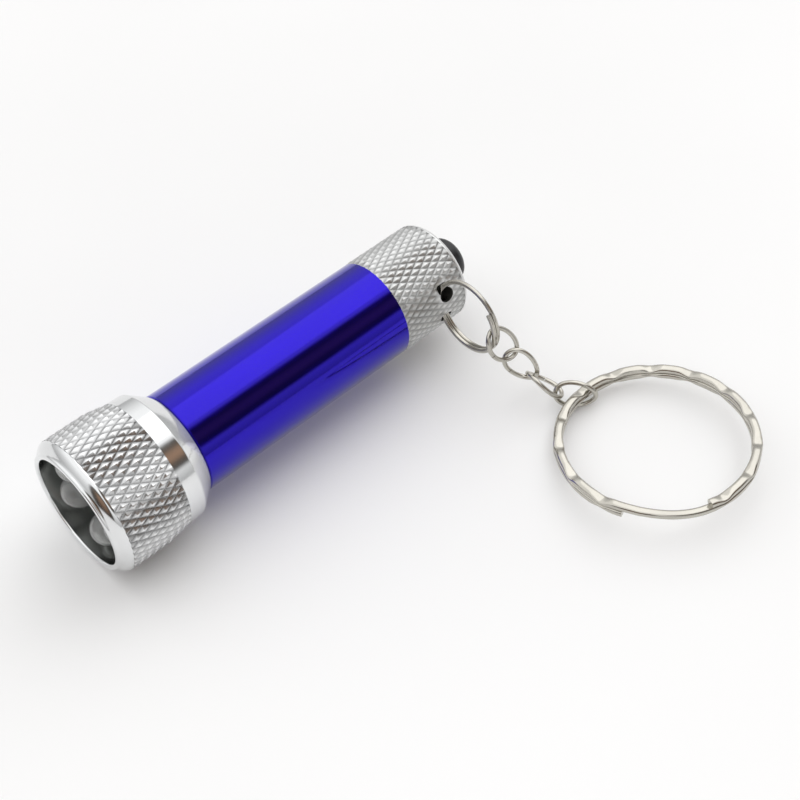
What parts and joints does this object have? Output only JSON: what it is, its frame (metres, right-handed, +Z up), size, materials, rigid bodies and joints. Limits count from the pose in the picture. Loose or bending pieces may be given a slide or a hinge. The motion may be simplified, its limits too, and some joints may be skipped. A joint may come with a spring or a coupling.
{
  "type": "keychain flashlight",
  "caption": "Pocket flashlight with a knurled turning head, round lamps, a tail push button and a split key ring on a short chain, for carrying on keys.",
  "frame": {"origin": "centre of the head's front rim", "axes": "+X along the light from the front rim to the tail, +Z up with the light lying level on a table"},
  "size_m": [0.0809, 0.0641, 0.02],
  "materials": {
    "blue_metal": "glossy metallic blue coating",
    "bare_metal": "satin, knurled",
    "black_rubber": "smooth, slightly glossy",
    "clear_sleeve": "thin film",
    "cell_steel": "plated",
    "contact_brass": "plain",
    "black_plastic": "moulded",
    "spring_steel": "drawn wire",
    "white_plastic": "moulded",
    "bright_chrome": "mirror bright, knurled grip",
    "dark_chrome": "dark mirror",
    "lamp_lens": "clear moulded dome",
    "board_green": "board with solder mask",
    "nickel_wire": "nickel plated, slightly warm"
  },
  "bodies": {
    "barrel": {"barrel_tube": "blue_metal", "tail_grip": "bare_metal", "neck_o_ring": "black_rubber", "battery_sleeve": "clear_sleeve", "cell_1": "cell_steel", "cell_2": "cell_steel", "cell_3": "cell_steel", "cell_4": "cell_steel", "rear_contact": "contact_brass", "switch_housing": "black_plastic", "switch_terminal": "contact_brass", "switch_spring": "spring_steel"},
    "head_carriage": {"ground_ring": "contact_brass"},
    "head": {"head_bezel": "bright_chrome", "lamp_cup": "dark_chrome", "lamp_1": "lamp_lens", "lamp_2": "lamp_lens", "lamp_3": "lamp_lens", "lamp_4": "lamp_lens", "lamp_5": "lamp_lens", "lamp_leads": "spring_steel", "circuit_board": "board_green", "front_contact": "contact_brass"},
    "button": {"button_cap": "black_rubber", "button_plunger": "white_plastic"},
    "small_ring": {"small_ring": "nickel_wire"},
    "link_1": {"link_1": "nickel_wire"},
    "link_2": {"link_2": "nickel_wire"},
    "link_3": {"link_3": "nickel_wire"},
    "link_4": {"link_4": "nickel_wire"},
    "key_ring": {"key_ring": "nickel_wire"}
  },
  "joints": [
    {"name": "head_turn", "type": "hinge", "parent": "head_carriage", "child": "head", "pos_m": [0, 0, 0], "axis": [-1, 0, 0], "range_deg": [0, 1445]},
    {"name": "head_travel", "type": "slide", "parent": "barrel", "child": "head_carriage", "axis": [-1, 0, 0], "range_m": [0, 0.004]},
    {"name": "button_press", "type": "slide", "parent": "barrel", "child": "button", "axis": [-1, 0, 0], "range_m": [0, 0.001], "stiffness_N_per_m": 900, "springref_m": -0.0005, "deforming": ["switch_spring"]},
    {"name": "small_ring_swing", "type": "hinge", "parent": "barrel", "child": "small_ring", "pos_m": [0.0585, -0.00604, 0.00106], "axis": [0, 0.1736, 0.9848], "range_deg": [-15, 15]},
    {"name": "link_1_swing", "type": "hinge", "parent": "small_ring", "child": "link_1", "pos_m": [0.0585, -0.01605, 0.00198], "axis": [0, 0.0052, -1], "range_deg": [-7, 8]},
    {"name": "link_2_swing", "type": "hinge", "parent": "link_1", "child": "link_2", "pos_m": [0.06044, -0.01809, -0.00185], "axis": [0.9027, 0.0608, 0.4259], "range_deg": [-18, 20]},
    {"name": "link_3_swing", "type": "hinge", "parent": "link_2", "child": "link_3", "pos_m": [0.06209, -0.02059, -0.00553], "axis": [0.544, -0.5596, 0.6252], "range_deg": [-15, 35]},
    {"name": "link_4_swing", "type": "hinge", "parent": "link_3", "child": "link_4", "pos_m": [0.06395, -0.02447, -0.00756], "axis": [-0.6512, -0.5729, 0.4977], "range_deg": [-30, 16]},
    {"name": "key_ring_swing", "type": "hinge", "parent": "link_4", "child": "key_ring", "pos_m": [0.06714, -0.02798, -0.00779], "axis": [0.2123, 0.1285, 0.9687], "range_deg": [-8, 40]}
  ],
  "couplings": [
    {"joint": "head_turn", "follows": "head_travel", "rad_per_m": 6283.2}
  ]
}
